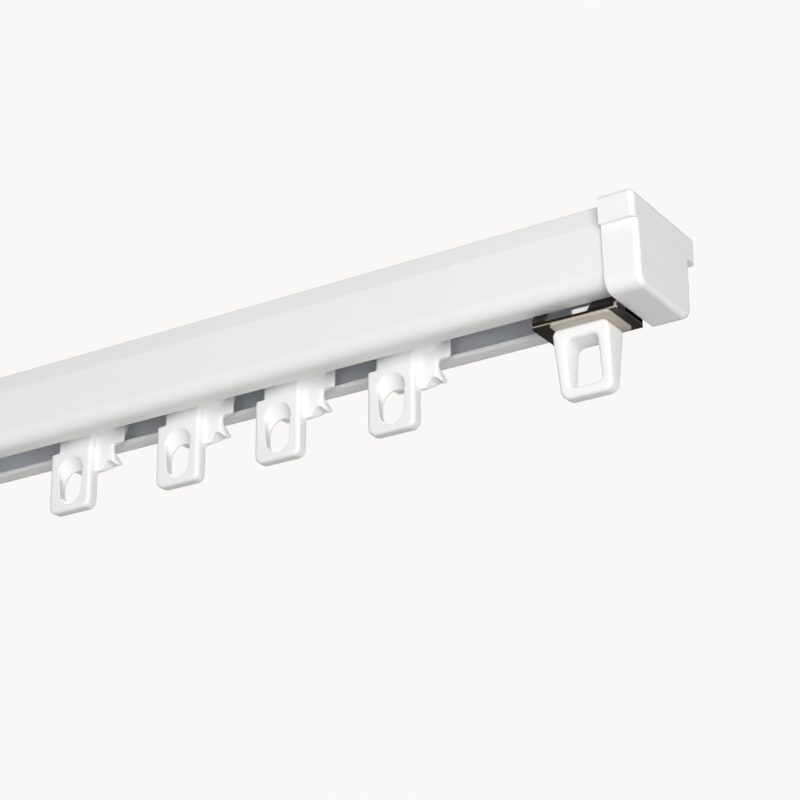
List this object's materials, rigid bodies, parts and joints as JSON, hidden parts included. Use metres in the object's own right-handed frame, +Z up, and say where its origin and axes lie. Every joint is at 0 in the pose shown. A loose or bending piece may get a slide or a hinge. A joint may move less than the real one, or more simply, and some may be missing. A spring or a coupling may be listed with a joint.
{
  "type": "curtain track",
  "caption": "Short ceiling curtain track: slotted white rail with moulded end caps, wheeled ring runners, and a sprung steel end stop with its own ring beside each cap.",
  "frame": {"origin": "middle of the rail's top face, half-way along the rail", "axes": "+X along the rail towards the right end cap, -Y towards the room, +Z up to the ceiling"},
  "size_m": [0.3048, 0.0304, 0.0368],
  "materials": {
    "coated_rail": "satin white powder coat on extruded aluminium",
    "cap_plastic": "satin moulded plastic",
    "ring_plastic": "satin moulded plastic",
    "runner_plastic": "satin moulded acetal",
    "wheel_plastic": "satin moulded acetal",
    "spring_steel": "polished stainless strip",
    "screw_steel": "bright zinc plate",
    "axle_steel": "drawn wire"
  },
  "bodies": {
    "track": {"rail": "coated_rail", "end_cap_right": "cap_plastic", "stop_clip_right": "spring_steel", "stop_ring_right": "ring_plastic", "stop_screw_right": "screw_steel", "end_cap_left": "cap_plastic", "stop_clip_left": "spring_steel", "stop_ring_left": "ring_plastic", "stop_screw_left": "screw_steel"},
    "runner_1": {"runner_1_body": "runner_plastic", "runner_1_axle": "axle_steel"},
    "runner_1_wheel_front": {"runner_1_wheel_front": "wheel_plastic"},
    "runner_1_wheel_rear": {"runner_1_wheel_rear": "wheel_plastic"},
    "runner_2": {"runner_2_body": "runner_plastic", "runner_2_axle": "axle_steel"},
    "runner_2_wheel_front": {"runner_2_wheel_front": "wheel_plastic"},
    "runner_2_wheel_rear": {"runner_2_wheel_rear": "wheel_plastic"},
    "runner_3": {"runner_3_body": "runner_plastic", "runner_3_axle": "axle_steel"},
    "runner_3_wheel_front": {"runner_3_wheel_front": "wheel_plastic"},
    "runner_3_wheel_rear": {"runner_3_wheel_rear": "wheel_plastic"},
    "runner_4": {"runner_4_body": "runner_plastic", "runner_4_axle": "axle_steel"},
    "runner_4_wheel_front": {"runner_4_wheel_front": "wheel_plastic"},
    "runner_4_wheel_rear": {"runner_4_wheel_rear": "wheel_plastic"}
  },
  "joints": [
    {"name": "runner_1_slide", "type": "slide", "parent": "track", "child": "runner_1", "axis": [1, 0, 0], "range_m": [-0.0094, 0.0228]},
    {"name": "runner_1_wheel_front_spin", "type": "hinge", "parent": "runner_1", "child": "runner_1_wheel_front", "pos_m": [0.0924, -0.00595, -0.0117], "axis": [0, 1, 0], "continuous": true},
    {"name": "runner_1_wheel_rear_spin", "type": "hinge", "parent": "runner_1", "child": "runner_1_wheel_rear", "pos_m": [0.0924, 0.00595, -0.0117], "axis": [0, 1, 0], "continuous": true},
    {"name": "runner_2_slide", "type": "slide", "parent": "track", "child": "runner_2", "axis": [1, 0, 0], "range_m": [-0.0072, 0]},
    {"name": "runner_2_wheel_front_spin", "type": "hinge", "parent": "runner_2", "child": "runner_2_wheel_front", "pos_m": [0.0629, -0.00595, -0.0117], "axis": [0, 1, 0], "continuous": true},
    {"name": "runner_2_wheel_rear_spin", "type": "hinge", "parent": "runner_2", "child": "runner_2_wheel_rear", "pos_m": [0.0629, 0.00595, -0.0117], "axis": [0, 1, 0], "continuous": true},
    {"name": "runner_3_slide", "type": "slide", "parent": "track", "child": "runner_3", "axis": [1, 0, 0], "range_m": [-0.0109, 0]},
    {"name": "runner_3_wheel_front_spin", "type": "hinge", "parent": "runner_3", "child": "runner_3_wheel_front", "pos_m": [0.0356, -0.00595, -0.0117], "axis": [0, 1, 0], "continuous": true},
    {"name": "runner_3_wheel_rear_spin", "type": "hinge", "parent": "runner_3", "child": "runner_3_wheel_rear", "pos_m": [0.0356, 0.00595, -0.0117], "axis": [0, 1, 0], "continuous": true},
    {"name": "runner_4_slide", "type": "slide", "parent": "track", "child": "runner_4", "axis": [1, 0, 0], "range_m": [-0.1176, 0]},
    {"name": "runner_4_wheel_front_spin", "type": "hinge", "parent": "runner_4", "child": "runner_4_wheel_front", "pos_m": [0.0046, -0.00595, -0.0117], "axis": [0, 1, 0], "continuous": true},
    {"name": "runner_4_wheel_rear_spin", "type": "hinge", "parent": "runner_4", "child": "runner_4_wheel_rear", "pos_m": [0.0046, 0.00595, -0.0117], "axis": [0, 1, 0], "continuous": true}
  ],
  "couplings": [
    {"joint": "runner_1_wheel_front_spin", "follows": "runner_1_slide", "rad_per_m": 200},
    {"joint": "runner_1_wheel_rear_spin", "follows": "runner_1_slide", "rad_per_m": 200},
    {"joint": "runner_2_wheel_front_spin", "follows": "runner_2_slide", "rad_per_m": 200},
    {"joint": "runner_2_wheel_rear_spin", "follows": "runner_2_slide", "rad_per_m": 200},
    {"joint": "runner_3_wheel_front_spin", "follows": "runner_3_slide", "rad_per_m": 200},
    {"joint": "runner_3_wheel_rear_spin", "follows": "runner_3_slide", "rad_per_m": 200},
    {"joint": "runner_4_wheel_front_spin", "follows": "runner_4_slide", "rad_per_m": 200},
    {"joint": "runner_4_wheel_rear_spin", "follows": "runner_4_slide", "rad_per_m": 200}
  ]
}
